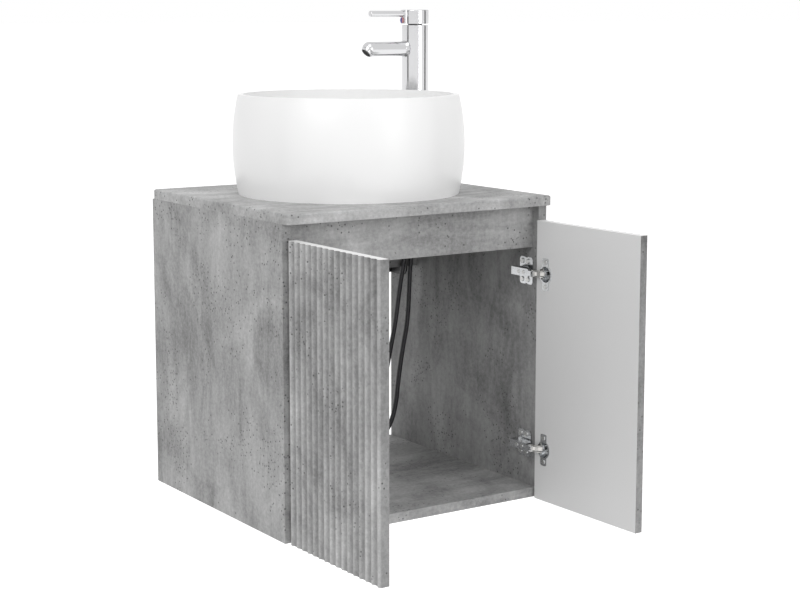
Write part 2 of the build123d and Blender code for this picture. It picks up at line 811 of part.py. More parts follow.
waste_nut_low = washer_level - waste_nut_height
nut = Pos(0, 0, waste_nut_low) * extrude(RegularPolygon(waste_nut_radius, 8, major_radius=False), waste_nut_height)
nut -= Pos(0, 0, waste_nut_low - 1) * Cylinder(waste_tube_radius + pin_clearance, waste_nut_height + 2, align=MIDDLE_MIN)
save("waste_body", on_worktop * waste_body())
save("waste_plug", on_worktop * waste_plug())
save(
    "waste_seals",
    on_worktop * ring(waste_flange_radius - 0.5, waste_tube_radius + fitting_clearance, seal_level, flange_level),
    on_worktop * ring(waste_nut_radius, waste_tube_radius + fitting_clearance, washer_level, -board),
)
save("waste_nut", on_worktop * nut)
tail_top = tube_end + tail_insert
tail_shoulder = tube_end - tail_spigot_gap
tail_bore = tail_spigot_radius - tail_wall
tail = ring(tail_radius, tail_bore, tail_top - tail_length, tail_shoulder)
tail += ring(tail_spigot_radius, tail_bore, tail_shoulder, tail_top)
save("waste_tail", on_worktop * tail)

# Mixer tap: a round body on a rubber seal, a level spout with a slanted aerator,
# and a cap with a rod lever that turns on the body and tilts up on a cross pin.
at_tap = Pos(tap_x, tap_y, worktop_top)
hose_places = {"cold": (8, -4), "hot": (-8, -4)}
cap_bottom = tap_body_top + tap_seam


def tap_body():
    body = turned([
        (0, tap_seal), (tap_radius, tap_seal), (tap_radius, tap_body_top - 0.6), (tap_radius - 0.6, tap_body_top),
        (tap_neck_radius, tap_body_top), (tap_neck_radius, tap_neck_top), (0, tap_neck_top),
    ])
    for x, y in hose_places.values():
        body -= Pos(x, y, 0) * Cylinder(hose_radius + fitting_clearance, hose_socket + tap_seal, align=MIDDLE_MIN)
    return body - Pos(0, stud_back, 0) * Cylinder(stud_radius + pin_clearance, hose_socket, align=MIDDLE_MIN)


def tap_stem():
    """The turning stem of the cartridge, with the cross pin that carries the cap."""
    foot = tap_neck_top + pin_clearance
    block_top = tilt_pivot_level + tilt_ear_half
    width = (-tilt_block_half_width, tilt_block_half_width)
    stem = Pos(0, 0, foot) * Cylinder(tap_neck_radius - 1, block_top - foot, align=MIDDLE_MIN)
    stem += block((0, tilt_pivot_back + tilt_ear_half), width, (foot, block_top))
    stem += block((tap_neck_radius + 1, tilt_pivot_back + tilt_ear_half), width, (cap_bottom + 0.5, foot))
    pin_start = (tilt_pivot_back, -tilt_ear_outside, tilt_pivot_level)
    return stem + rod(pin_start, (0, 1, 0), tilt_pin_radius, 2 * tilt_ear_outside)


def tap_cap():
    inside_radius = tap_radius - cap_wall
    cap = Pos(0, 0, cap_bottom) * Cylinder(tap_radius, tap_cap_top - cap_bottom, align=MIDDLE_MIN)
    cap = fillet(cap.edges().group_by(Axis.Z)[-1], cap_edge_round)
    boss = block((-lever_boss_reach, 0), (-lever_boss_width / 2, lever_boss_width / 2), (cap_bottom, tap_cap_top - 0.5))
    boss = fillet(boss.edges().filter_by(Axis.Z).group_by(Axis.X)[0], 3)
    cap += boss
    cap -= Pos(0, 0, cap_bottom - 1) * Cylinder(inside_radius, cap_roof - cap_bottom + 1, align=MIDDLE_MIN)
    for side in (-1, 1):
        width = sorted((side * tilt_ear_inside, side * tilt_ear_outside))
        foot = tilt_pivot_level - 0.8 * tilt_ear_half
        length = (tilt_pivot_back - tilt_ear_half, tilt_pivot_back + tilt_ear_half)
        cap += block(length, width, (foot, cap_roof + 1))
    hole = (tilt_pivot_back, -tap_radius / 2, tilt_pivot_level)
    cap -= rod(hole, (0, 1, 0), tilt_pin_radius + pin_clearance, tap_radius)
    return cap - rod((-lever_boss_reach - 1, 0, lever_level), (1, 0, 0), lever_radius - 1.45, 7)


def tap_lever():
    rod_length = lever_reach - lever_boss_reach
    bar = rod((-lever_reach, 0, lever_level), (1, 0, 0), lever_radius, rod_length)
    bar = fillet(bar.edges().group_by(Axis.X)[0], 1.5)
    return bar + rod((-lever_boss_reach, 0, lever_level), (1, 0, 0), lever_radius - 1.5, 5)


def lever_mark(side):
    """Half of the round hot and cold button under the lever."""
    button = rod((-lever_boss_reach - mark_thickness, 0, mark_level), (1, 0, 0), mark_radius, mark_thickness)
    reach = mark_radius + 1
    low, high = sorted((side * 0.05, side * reach))
    return button & block(
        (-lever_boss_reach - 2, -lever_boss_reach), (low, high), (mark_level - reach, mark_level + reach)
    )


aerator_direction = (-1, 0, -1)


def tap_spout():
    """A level tube with a flared root on the body and a ball end cut at 45 degrees."""
    root = tap_radius - 2
    flare_end = tap_radius + 2 * spout_flare
    outline = [
        Line((root, 0), (spout_reach, 0)),
        Line((spout_reach, 0), (spout_reach, spout_radius)),
        Line((spout_reach, spout_radius), (flare_end, spout_radius)),
        ThreePointArc(
            (flare_end, spout_radius), (tap_radius + 0.7 * spout_flare, spout_radius + 0.45 * spout_flare),
            (root, spout_radius + 1.6 * spout_flare),
        ),
        Line((root, spout_radius + 1.6 * spout_flare), (root, 0)),
    ]
    tube = revolve(make_face(outline), Axis.X)
    tube = Pos(0, 0, spout_level) * Rot(0, 0, 180) * tube
    tube += Pos(-spout_reach, 0, spout_level) * Sphere(spout_radius)
    cut = Plane(origin=(-spout_reach, 0, spout_level), z_dir=aerator_direction)
    tube -= cut * Pos(0, 0, aerator_start) * Cylinder(spout_radius + 3, 20, align=MIDDLE_MIN)
    return tube - Cylinder(tap_radius, tap_body_top, align=MIDDLE_MIN)


def tap_aerator():
    place = Plane(origin=(-spout_reach, 0, spout_level), z_dir=aerator_direction)
    length = aerator_end - aerator_start
    sleeve = place * Pos(0, 0, aerator_start) * Cylinder(aerator_radius, length, align=MIDDLE_MIN)
    return sleeve - place * Pos(0, 0, aerator_start + 2) * Cylinder(aerator_radius - 1.6, length, align=MIDDLE_MIN)


save("tap_body", at_tap * tap_body())
save("tap_spout", at_tap * tap_spout())
save("tap_aerator", at_tap * tap_aerator())
save("tap_stem", at_tap * tap_stem())
save("tap_cap", at_tap * tap_cap())
save("tap_lever", at_tap * tap_lever())
save("tap_cold_mark", at_tap * lever_mark(1))
save("tap_hot_mark", at_tap * lever_mark(-1))


# Tap fixing under the worktop: rubber and steel clamp plates, stud and long nut
def clamp_plate(low, high):
    plate = ring(clamp_radius, tap_hole_radius - 10.5, low, high)
    slot = block((-tap_hole_radius + 3.5, tap_hole_radius - 3.5), (-clamp_radius - 1, 1), (low - 1, high + 1))
    stud = Pos(0, stud_back, low - 1) * Cylinder(stud_radius + fitting_clearance, high - low + 2, align=MIDDLE_MIN)
    return plate - slot - stud


rubber_low = -board - clamp_rubber
steel_low = rubber_low - clamp_steel
save(
    "tap_seals",
    at_tap * ring(tap_radius - 0.4, tap_hole_radius, 0, tap_seal),
    at_tap * clamp_plate(rubber_low, -board),
)
save("tap_clamp_plate", at_tap * clamp_plate(steel_low, rubber_low))
stud_top = hose_socket - 1
save("tap_stud", at_tap * Pos(0, stud_back, stud_top - stud_length) * Cylinder(stud_radius, stud_length, align=MIDDLE_MIN))
long_nut = extrude(RegularPolygon(tap_nut_radius, 6, major_radius=False), tap_nut_height)
long_nut -= Pos(0, 0, -1) * Cylinder(stud_radius + pin_clearance, tap_nut_height + 2, align=MIDDLE_MIN)
save("tap_nut", at_tap * Pos(0, stud_back, steel_low - tap_nut_height) * long_nut)

# Supply hoses: they drop from the tap in front of the rear rail, swing under it and
# come to rest on the cabinet floor, each with a collar and a union nut on its end.
# Each route starts in its socket; its places are (right, back) from the tap's axis
# and the height above the cabinet's underside.
nut_rest = board + hose_end_nut_radius
hose_routes = {
    "cold": [
        (8, -4, 489.7), (8, -4, 440), (5.5, 8, 386), (3, 19, 335), (3, 22, 284), (2, 25, 233), (-5, 31, 182),
        (-11, 34, 132), (-15, 36, 84), (-30, 36, 46), (-62, 34, 26), (-100, 31, nut_rest), (-134, 29, nut_rest),
    ],
    "hot": [
        (-8, -4, 489.7), (-8, -4, 440), (-8, 8, 388), (-9.5, 20, 337), (-14, 27, 286), (-17, 33, 235),
        (-22, 42, 184), (-27, 51, 134), (-31, 58, 86), (-44, 62, 47), (-76, 62, 26), (-114, 60, nut_rest),
        (-148, 59, nut_rest),
    ],
}


def hose_path(places):
    points = [Vector(tap_x + x, tap_y + y, underside + z) for x, y, z in places]
    radii = []
    for before, here, after in zip(points, points[1:], points[2:]):
        turn = radians((here - before).get_angle(after - here))
        shorter = min((here - before).length, (after - here).length)
        radii.append(0.45 * shorter / tan(turn / 2))
    return FilletPolyline(*points, radius=radii), radii


def hose_end(end, direction):
    """The crimped collar and the hexagon union nut that close a hose."""
    collar = rod(end, direction, hose_end_collar_radius, hose_end_collar_length)
    seat = Plane(origin=end + direction * hose_end_collar_length, z_dir=direction)
    hexagon = RegularPolygon(hose_end_nut_radius, 6, major_radius=False)
    union_nut = seat * extrude(hexagon, hose_end_nut_length)
    union_nut -= seat * Pos(0, 0, 4) * Cylinder(hose_end_thread_radius, hose_end_nut_length, align=MIDDLE_MIN)
    return collar, union_nut


for name, places in hose_routes.items():
    path, radii = hose_path(places)
    section = Plane(origin=path @ 0, z_dir=path % 0) * Circle(hose_radius)
    hose = sweep(section, path)
    print(name, "hose length", round(path.length), "volume ratio", hose.volume / (pi * hose_radius**2 * path.length))
    save(f"{name}_hose", hose)
    save(f"{name}_hose_end", *hose_end(path @ 1, path % 1))
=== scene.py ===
import math

import bmesh
import bpy
from mathutils import Matrix, Vector


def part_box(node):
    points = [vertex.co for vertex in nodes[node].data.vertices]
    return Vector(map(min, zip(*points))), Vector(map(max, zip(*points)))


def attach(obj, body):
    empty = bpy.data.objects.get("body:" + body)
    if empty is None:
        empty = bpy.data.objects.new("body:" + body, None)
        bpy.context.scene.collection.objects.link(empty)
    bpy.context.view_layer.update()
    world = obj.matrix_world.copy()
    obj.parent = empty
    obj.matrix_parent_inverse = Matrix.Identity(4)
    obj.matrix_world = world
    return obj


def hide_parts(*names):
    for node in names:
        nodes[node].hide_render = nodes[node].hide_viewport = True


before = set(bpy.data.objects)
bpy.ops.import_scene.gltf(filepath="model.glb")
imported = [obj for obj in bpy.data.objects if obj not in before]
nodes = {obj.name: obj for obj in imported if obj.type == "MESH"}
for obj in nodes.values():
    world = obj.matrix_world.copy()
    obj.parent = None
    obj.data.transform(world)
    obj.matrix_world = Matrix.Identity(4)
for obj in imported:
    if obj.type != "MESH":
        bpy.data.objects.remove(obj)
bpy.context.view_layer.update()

# Camera. It stands in front and to the left of the unit, about as high as the top of the
# tap, and looks slightly down on the unit, as in the photograph.
camera_heading = math.radians(33.605)
camera_pitch = math.radians(8.031)
camera_data = bpy.data.cameras.new("camera")
camera_data.lens = 78.42
camera_data.sensor_width = 36
camera_data.shift_y = -0.05
camera = bpy.data.objects.new("camera", camera_data)
camera.location = (-1.4372, -2.5221, 0.3963)
camera.rotation_euler = (math.pi / 2 - camera_pitch, 0, -camera_heading)
bpy.context.scene.collection.objects.link(camera)
bpy.context.scene.camera = camera

# Supply hoses. Two dark sleeved hoses of 8 mm leave the foot of the tap, hang down
# in front of the rear rail and lie on the cabinet floor, where each ends in a union nut.
hose_diameter = 0.008
tap_place = Vector((0.195, -0.111, 0))
underside = -0.357
floor_rest = 0.0245
# Each point is (right, back, height), from the tap's middle and from the unit's underside.
hose_routes = {
    "cold": [
        (0.008, -0.004, 0.4897), (0.008, -0.004, 0.440), (0.0055, 0.008, 0.386), (0.003, 0.019, 0.335),
        (0.003, 0.022, 0.284), (0.002, 0.025, 0.233), (-0.005, 0.031, 0.182), (-0.011, 0.034, 0.132),
        (-0.015, 0.036, 0.084), (-0.030, 0.036, 0.046), (-0.062, 0.034, 0.026), (-0.100, 0.031, floor_rest),
        (-0.134, 0.029, floor_rest),
    ],
    "hot": [
        (-0.008, -0.004, 0.4897), (-0.008, -0.004, 0.440), (-0.008, 0.008, 0.388), (-0.0095, 0.020, 0.337),
        (-0.014, 0.027, 0.286), (-0.017, 0.033, 0.235), (-0.022, 0.042, 0.184), (-0.027, 0.051, 0.134),
        (-0.031, 0.058, 0.086), (-0.044, 0.062, 0.047), (-0.076, 0.062, 0.026), (-0.114, 0.060, floor_rest),
        (-0.148, 0.059, floor_rest),
    ],
}


def shader(name, color, roughness, metallic=0.0):
    """A new material with one principled shader, its node tree and that shader."""
    material = bpy.data.materials.new(name)
    material.use_nodes = True
    tree = material.node_tree
    surface = tree.nodes["Principled BSDF"]
    surface.inputs["Base Color"].default_value = (*color, 1)
    surface.inputs["Roughness"].default_value = roughness
    surface.inputs["Metallic"].default_value = metallic
    return material, tree, surface


def add_node(tree, kind, inputs=(), **settings):
    """A node with its settings and its input values or links."""
    node = tree.nodes.new(kind)
    for key, value in settings.items():
        setattr(node, key, value)
    for key, value in dict(inputs).items():
        if isinstance(value, bpy.types.NodeSocket):
            tree.links.new(value, node.inputs[key])
        else:
            node.inputs[key].default_value = value
    return node


def object_pattern(tree, scale=(1, 1, 1), offset=(0, 0, 0)):
    """Object coordinates, stretched or shifted."""
    place = add_node(tree, "ShaderNodeTexCoord").outputs["Object"]
    inputs = {"Vector": place, "Scale": scale, "Location": offset}
    return add_node(tree, "ShaderNodeMapping", inputs).outputs["Vector"]


def add_bump(tree, surface, height, strength, distance):
    """Fine relief on a surface."""
    bump = add_node(tree, "ShaderNodeBump", {"Height": height, "Strength": strength, "Distance": distance})
    tree.links.new(bump.outputs["Normal"], surface.inputs["Normal"])


def blend_colors(tree, pattern, low, high):
    """A straight mix from one colour to another by a pattern."""
    pattern_input, low_input, high_input, color_output = 0, 6, 7, 2
    mix = add_node(tree, "ShaderNodeMix", {pattern_input: pattern}, data_type="RGBA")
    for number, color in ((low_input, low), (high_input, high)):
        if isinstance(color, bpy.types.NodeSocket):
            tree.links.new(color, mix.inputs[number])
        else:
            mix.inputs[number].default_value = (*color, 1)
    return mix.outputs[color_output]


def paint(tree, surface, pattern, low, high):
    """Colours a surface from one colour to another by a pattern."""
    tree.links.new(blend_colors(tree, pattern, low, high), surface.inputs["Base Color"])


def hose_sleeve():
    """Dark sleeve with a fine woven grain."""
    material, tree, surface = shader("hose sleeve", (0.030, 0.030, 0.033), 0.42)
    place = object_pattern(tree, scale=(1, 1, 0.5))
    weave = add_node(tree, "ShaderNodeTexVoronoi", {"Vector": place, "Scale": 900.0}).outputs["Distance"]
    paint(tree, surface, weave, low=(0.055, 0.055, 0.060), high=(0.016, 0.016, 0.018))
    add_bump(tree, surface, weave, strength=0.5, distance=0.0004)
    return material


def hose_point(right, back, height):
    """A route point in the unit's own frame."""
    return tap_place + Vector((right, back, underside + height))


sleeve = hose_sleeve()
for name, route in hose_routes.items():
    curve = bpy.data.curves.new(f"{name}_supply_hose", "CURVE")
    curve.dimensions = "3D"
    curve.bevel_depth = hose_diameter / 2
    curve.bevel_resolution = 6
    curve.use_fill_caps = True
    spline = curve.splines.new("NURBS")
    spline.points.add(len(route) - 1)
    for point, step in zip(spline.points, route):
        point.co = (*hose_point(*step), 1)
    spline.order_u = 3
    spline.use_endpoint_u = True
    spline.resolution_u = 10
    curve.materials.append(sleeve)
    hose = bpy.data.objects.new(f"{name}_supply_hose", curve)
    bpy.context.scene.collection.objects.link(hose)
    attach(hose, "cabinet")
    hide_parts(f"{name}_hose")

# Stage and light. A white studio: a pale floor well below the unit that takes its shadow,
# even light from all round, and three large soft lamps in front of the unit and above it.
floor_level = -0.85
floor_size = 400
floor_glow = 0.42
floor_lit = (0.70, 0.70, 0.70)
floor_seen = (0.98, 0.98, 0.98)
soft_light = 0.79
backdrop_white = 1.0
white = (1, 1, 1, 1)
doorway = (0, -0.3, 0)
worktop_front = (0, -0.3, 0.1)


def arithmetic(tree, operation, first, second):
    """One step of arithmetic on two values."""
    return add_node(tree, "ShaderNodeMath", {0: first, 1: second}, operation=operation).outputs[0]


def remap(tree, value, old=(0.0, 1.0), new=(0.0, 1.0)):
    """A value moved from its old range to a new one, and held inside it."""
    inputs = {"Value": value, "From Min": old[0], "From Max": old[1], "To Min": new[0], "To Max": new[1]}
    return add_node(tree, "ShaderNodeMapRange", inputs).outputs["Result"]


def seen_rays(tree):
    """1 for the camera's rays and for those that metal or glass sends on, otherwise 0."""
    path = add_node(tree, "ShaderNodeLightPath")
    seen = arithmetic(tree, "MAXIMUM", path.outputs["Is Camera Ray"], path.outputs["Is Glossy Ray"])
    return arithmetic(tree, "MAXIMUM", seen, path.outputs["Is Transmission Ray"])


def studio_floor():
    """Pale grey to the light, and near white with a faint glow to the eye."""
    material, tree, surface = shader("studio floor", floor_lit, 0.9)
    seen = seen_rays(tree)
    paint(tree, surface, seen, floor_lit, floor_seen)
    surface.inputs["Emission Color"].default_value = white
    tree.links.new(arithmetic(tree, "MULTIPLY", seen, floor_glow), surface.inputs["Emission Strength"])
    return material


def softbox(name, place, target, size, power):
    """A square soft lamp turned to its target."""
    light = bpy.data.lights.new(name, "AREA")
    light.size = size
    light.energy = power
    lamp = bpy.data.objects.new(name, light)
    lamp.location = place
    lamp.rotation_euler = (Vector(target) - Vector(place)).to_track_quat("-Z", "Y").to_euler()
    bpy.context.scene.collection.objects.link(lamp)


bpy.ops.mesh.primitive_plane_add(size=floor_size, location=(0, 0, floor_level))
floor = bpy.context.object
floor.name = "studio_floor"
floor.data.materials.append(studio_floor())

world = bpy.data.worlds.new("studio")
bpy.context.scene.world = world
world.use_nodes = True
backdrop = world.node_tree.nodes["Background"]
backdrop.inputs["Color"].default_value = white
strength = remap(world.node_tree, seen_rays(world.node_tree), new=(soft_light, backdrop_white))
world.node_tree.links.new(strength, backdrop.inputs["Strength"])
bpy.context.scene.view_settings.view_transform = "Standard"

softbox("key_softbox", (-3.4, -2.2, 2.2), doorway, size=2.4, power=43)
softbox("front_softbox", (0.6, -4.2, 0.9), doorway, size=2.2, power=31)
softbox("top_softbox", (-0.4, -1.6, 3.0), worktop_front, size=1.8, power=13)

# Grey cards. Three upright cards stand round the unit, and the camera doesn't see them.
# They give polished metal the soft dark bands of a studio.
card_grey = (0.24, 0.24, 0.24)
card_height = 3.2


def studio_card(name, place, width, turn):
    """A matt grey card that stands upright and is turned about its middle."""
    card = bpy.data.meshes.new(name)
    shape = bmesh.new()
    bmesh.ops.create_grid(shape, x_segments=1, y_segments=1, size=0.5)
    stand = Matrix.Translation(place) @ Matrix.Rotation(turn, 4, "Z") @ Matrix.Rotation(math.pi / 2, 4, "X")
    shape.transform(stand @ Matrix.Diagonal((width, card_height, 1, 1)))
    shape.to_mesh(card)
    shape.free()
    card.materials.append(shader(name, card_grey, 0.9)[0])
    piece = bpy.data.objects.new(name, card)
    bpy.context.scene.collection.objects.link(piece)
    piece.visible_camera = False


studio_card("left_grey_card", (-3.6, 0.4, 0.6), width=0.9, turn=math.radians(80))
studio_card("front_grey_card", (-0.15, -3.9, 0.6), width=0.34, turn=math.radians(5))
studio_card("right_grey_card", (2.8, -1.6, 0.6), width=0.9, turn=math.radians(65))

# Cabinet boards. Chipboard of 15 mm, faced and edged with a concrete-look laminate:
# a mottled grey with cloudy patches, smears along the board and clusters of dark pits.
laminate_dark = (0.12, 0.12, 0.12)
laminate_pale = (0.50, 0.50, 0.50)
dark_end, pale_end = 0.35, 0.65
cloud_squash = (1, 1, 0.8)
smear_stretch = 0.22
smear_share = 0.42
grain_share = 0.24
pit_color = (0.05, 0.05, 0.05)
pit_strength = 0.85
pit_edge = (0.14, 0.30)
pit_clusters = (0.49, 0.66)
# Painted highlight on the ridges of the door flutes and painted shade in their valleys.
ridge_highlight, valley_shade = 1.36, 0.82
weld_distance = 1e-6
flat_angle = math.radians(0.5)
edge_bevel = 0.0004
edge_angle = math.radians(35)
upright, across = 2, 0


def noise(tree, place, scale, detail, roughness, distortion=0.0):
    """Soft noise laid over the given coordinates."""
    inputs = {"Vector": place, "Scale": scale, "Detail": detail, "Roughness": roughness}
    inputs["Distortion"] = distortion
    return add_node(tree, "ShaderNodeTexNoise", inputs).outputs["Fac"]


def blend_values(tree, share, first, second):
    """The first value with a share of the second in it."""
    share_input, first_input, second_input = 0, 2, 3
    inputs = {share_input: share, first_input: first, second_input: second}
    return add_node(tree, "ShaderNodeMix", inputs, data_type="FLOAT").outputs[0]


def laminate(name, smear, offset, painted_light=1.0, fluted=False):
    """Concrete-look laminate, its smears drawn out along one axis of the unit. On a fluted
    face the ridges get a painted highlight and the valleys get painted shade."""
    material, tree, surface = shader(name, laminate_dark, 0.62)
    stretch = [1.0, 1.0, 1.0]
    stretch[smear] = smear_stretch
    plain = object_pattern(tree, offset=offset)
    squashed = object_pattern(tree, cloud_squash, offset)
    smeared = object_pattern(tree, stretch, offset)
    clouds = noise(tree, squashed, scale=7.0, detail=6.0, roughness=0.60, distortion=0.9)
    smears = noise(tree, smeared, scale=30.0, detail=7.0, roughness=0.68, distortion=0.6)
    grain = noise(tree, plain, scale=170.0, detail=4.0, roughness=0.7)
    clusters = noise(tree, plain, scale=11.0, detail=3.0, roughness=0.6)
    broad = blend_values(tree, smear_share, clouds, smears)
    ramp = add_node(tree, "ShaderNodeValToRGB", {"Fac": blend_values(tree, grain_share, broad, grain)})
    # Painted light and shade: the whole colour ramp is lightened or darkened by one factor for the light the
    # board gets.
    for end, position, color in ((0, dark_end, laminate_dark), (1, pale_end, laminate_pale)):
        ramp.color_ramp.elements[end].position = position
        ramp.color_ramp.elements[end].color = (*(value * painted_light for value in color), 1)
    pits = add_node(tree, "ShaderNodeTexVoronoi", {"Vector": plain, "Scale": 170.0, "Randomness": 1.0})
    pit_shape = remap(tree, pits.outputs["Distance"], old=pit_edge, new=(1.0, 0.0))
    where = remap(tree, clusters, old=pit_clusters)
    choice = add_node(tree, "ShaderNodeSeparateColor", {"Color": pits.outputs["Color"]})
    chosen = arithmetic(tree, "LESS_THAN", choice.outputs["Red"], where)
    pit = arithmetic(tree, "MULTIPLY", pit_shape, chosen)
    pit_tint = arithmetic(tree, "MULTIPLY", pit, pit_strength)
    tint = blend_colors(tree, pit_tint, ramp.outputs["Color"], pit_color)
    # Painted highlight and shade: the colour is lightened on the flute ridges and darkened in the valleys.
    if fluted:
        relief = add_node(tree, "ShaderNodeAttribute", attribute_name="flute_depth")
        shade = remap(tree, relief.outputs["Fac"], new=(ridge_highlight, valley_shade))
        shaded = add_node(tree, "ShaderNodeVectorMath", {0: tint, "Scale": shade}, operation="SCALE")
        tint = shaded.outputs["Vector"]
    tree.links.new(tint, surface.inputs["Base Color"])
    depth = arithmetic(tree, "SUBTRACT", grain, pit)
    add_bump(tree, surface, depth, strength=0.25, distance=0.0003)
    return material


def merged_copy(node, name):
    """A welded copy of a CAD node's mesh that takes its place, with flat faces joined."""
    mesh = bpy.data.meshes.new(name)
    shape = bmesh.new()
    shape.from_mesh(nodes[node].data)
    shape.transform(nodes[node].matrix_world)
    bmesh.ops.remove_doubles(shape, verts=shape.verts, dist=weld_distance)
    bmesh.ops.dissolve_limit(shape, angle_limit=flat_angle, verts=shape.verts, edges=shape.edges)
    for face in shape.faces:
        face.material_index = 0
    shape.to_mesh(mesh)
    shape.free()
    piece = bpy.data.objects.new(name, mesh)
    bpy.context.scene.collection.objects.link(piece)
    return piece


def soften(piece):
    """Broken edges and smooth shading, held flat by weighted normals."""
    for face in piece.data.polygons:
        face.use_smooth = True
    bevel = piece.modifiers.new("edges", "BEVEL")
    bevel.width = edge_bevel
    bevel.segments = 2
    bevel.limit_method = "ANGLE"
    bevel.angle_limit = edge_angle
    bevel.harden_normals = False
    flat = piece.modifiers.new("flat faces", "WEIGHTED_NORMAL")
    flat.keep_sharp = True
    flat.weight = 90


def board(node, name, material):
    """A cabinet board in the place of its CAD node."""
    piece = merged_copy(node, name)
    piece.data.materials.append(material)
    soften(piece)
    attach(piece, "cabinet")
    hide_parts(node)


# One laminate in lit and shaded copies, a painted light and shade: lighter on the left side, floor, front
# rail and worktop, and darker on the right side and the rear rail, which stand in shade inside the unit.
left_laminate = laminate("left side laminate", upright, offset=(0.3, 1.2, 0.4), painted_light=1.14)
right_laminate = laminate("right side laminate", upright, offset=(1.7, 0.2, 2.4), painted_light=0.88)
floor_laminate = laminate("floor laminate", across, offset=(2.1, 0.7, 0.9), painted_light=1.1)
front_laminate = laminate("front rail laminate", across, offset=(0.9, 2.3, 1.1), painted_light=1.2)
rear_laminate = laminate("rear rail laminate", across, offset=(1.3, 0.4, 0.2), painted_light=0.7)
worktop_laminate = laminate("worktop laminate", across, offset=(0.2, 0.5, 2.0), painted_light=1.25)
board("left_side_panel", "left_side_board", left_laminate)
board("right_side_panel", "right_side_board", right_laminate)
board("bottom_panel", "floor_board", floor_laminate)
board("front_rail", "front_rail_board", front_laminate)
board("rear_rail", "rear_rail_board", rear_laminate)
board("worktop", "worktop_board", worktop_laminate)

# Doors. Boards of the same thickness, their outer face milled into upright flutes and
# wrapped in the laminate. The inner face is plain light grey and the top edge white.
inner_grey = (0.74, 0.74, 0.74)
edge_white = (0.85, 0.85, 0.85)
melamine_shade = 0.97
board_thickness = 0.015
flute_depth = 0.0025
facing_slot, inner_slot, top_slot, bore_slot = range(4)
faces_up = 0.95
faces_inside = 0.99
stands_across = 0.2
surface_reach = 0.0002
top_reach = 0.001
bore_reach = 0.012
bore_end_margin = 0.01
bore_side_margin = 0.003


def mottled(
    name, low, high, roughness, grain_scale, grain_detail, grain_roughness=0.5, relief=0.0,
    relief_height=0.0002, stretch=(1, 1, 1),
):
    """A plain finish between two close shades, with a fine uneven surface if it has relief."""
    material, tree, surface = shader(name, high, roughness)
    grain = noise(tree, object_pattern(tree, stretch), grain_scale, grain_detail, grain_roughness)
    paint(tree, surface, grain, low, high)
    if relief:
        add_bump(tree, surface, grain, relief, relief_height)
    return material


def plain_melamine(name, color):
    """The paper-thin facing of the doors' inner side and top edge."""
    shade = tuple(value * melamine_shade for value in color)
    return mottled(
        name, low=shade, high=color, roughness=0.5, grain_scale=900.0, grain_detail=2.0, grain_roughness=0.6,
        relief=0.12,
    )


def raw_chipboard():
    """The board's bare inside in the hinge bores, made of pale and dark chips."""
    material, tree, surface = shader("raw chipboard", (0.45, 0.33, 0.20), 0.85)
    chips = add_node(tree, "ShaderNodeTexVoronoi", {"Vector": object_pattern(tree), "Scale": 700.0})
    paint(tree, surface, chips.outputs["Distance"], (0.33, 0.24, 0.14), (0.58, 0.45, 0.30))
    return material


inner_face = plain_melamine("door inner face", inner_grey)
top_edge = plain_melamine("door top edge", edge_white)
chipboard = raw_chipboard()
for side, offset in (("left", (2.6, 1.9, 0.1)), ("right", (0.8, 0.9, 1.5))):
    piece = merged_copy(f"{side}_door", f"{side}_fluted_door")
    facing = laminate(f"{side} door laminate", upright, offset, fluted=True)
    for material in (facing, inner_face, top_edge, chipboard):
        piece.data.materials.append(material)
    low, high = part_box(f"{side}_door")
    flat_inside = max(piece.data.polygons, key=lambda face: face.area)
    relief = piece.data.attributes.new("flute_depth", "FLOAT", "POINT")
    for vertex, value in zip(piece.data.vertices, relief.data):
        height = -(vertex.co - flat_inside.center).dot(flat_inside.normal)
        value.value = min(max((board_thickness - height) / flute_depth, 0), 1)
    for face in piece.data.polygons:
        inward = face.normal.dot(flat_inside.normal)
        depth = (face.center - flat_inside.center).dot(flat_inside.normal)
        off_sides = min(abs(face.center.y - low.y), abs(face.center.y - high.y))
        off_ends = low.z + bore_end_margin < face.center.z < high.z - bore_end_margin
        off_rim = off_ends and off_sides > bore_side_margin
        if face.normal.z > faces_up and face.center.z > high.z - top_reach:
            face.material_index = top_slot
        elif inward > faces_inside and abs(depth) < surface_reach:
            face.material_index = inner_slot
        elif depth > -bore_reach and abs(inward) < stands_across and off_rim:
            face.material_index = bore_slot
    soften(piece)
    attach(piece, f"{side}_door")
    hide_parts(f"{side}_door")

# Board fittings and wall brackets. Zinc cam locks, bolts and beech dowels hold the boards
# together, and black steel angles behind the rear rail carry the unit on the wall.
least_roughness = 0.02


def metal(name, color, roughness, grain_scale=260.0, grain_depth=0.15, spread=0.12):
    """Bare or plated metal with a fine uneven sheen."""
    material, tree, surface = shader(name, color, roughness, metallic=1.0)
    wear = noise(tree, object_pattern(tree), grain_scale, detail=4.0, roughness=0.6)
    sheen = remap(tree, wear, new=(max(roughness - spread, least_roughness), roughness + spread))
    tree.links.new(sheen, surface.inputs["Roughness"])
    add_bump(tree, surface, wear, grain_depth, distance=0.0001)
    return material


def finish(names, material):
    """Gives CAD pieces that keep their own shape a better material."""
    for name in names:
        for slot in nodes[name].material_slots:
            slot.material = material


zinc = metal("zinc plate", (0.62, 0.62, 0.61), 0.32)
beech = mottled(
    "beech", low=(0.50, 0.34, 0.19), high=(0.70, 0.53, 0.34), roughness=0.7, grain_scale=300.0,
    grain_detail=4.0, stretch=(0.1, 1, 1),
)
black_enamel = mottled(
    "black enamel", low=(0.010, 0.010, 0.010), high=(0.020, 0.020, 0.021), roughness=0.42,
    grain_scale=450.0, grain_detail=3.0, relief=0.2,
)
finish(["cam_locks", "cam_bolts", "bracket_screws"], zinc)
finish(["wood_dowels"], beech)
finish(["left_wall_bracket", "right_wall_bracket"], black_enamel)

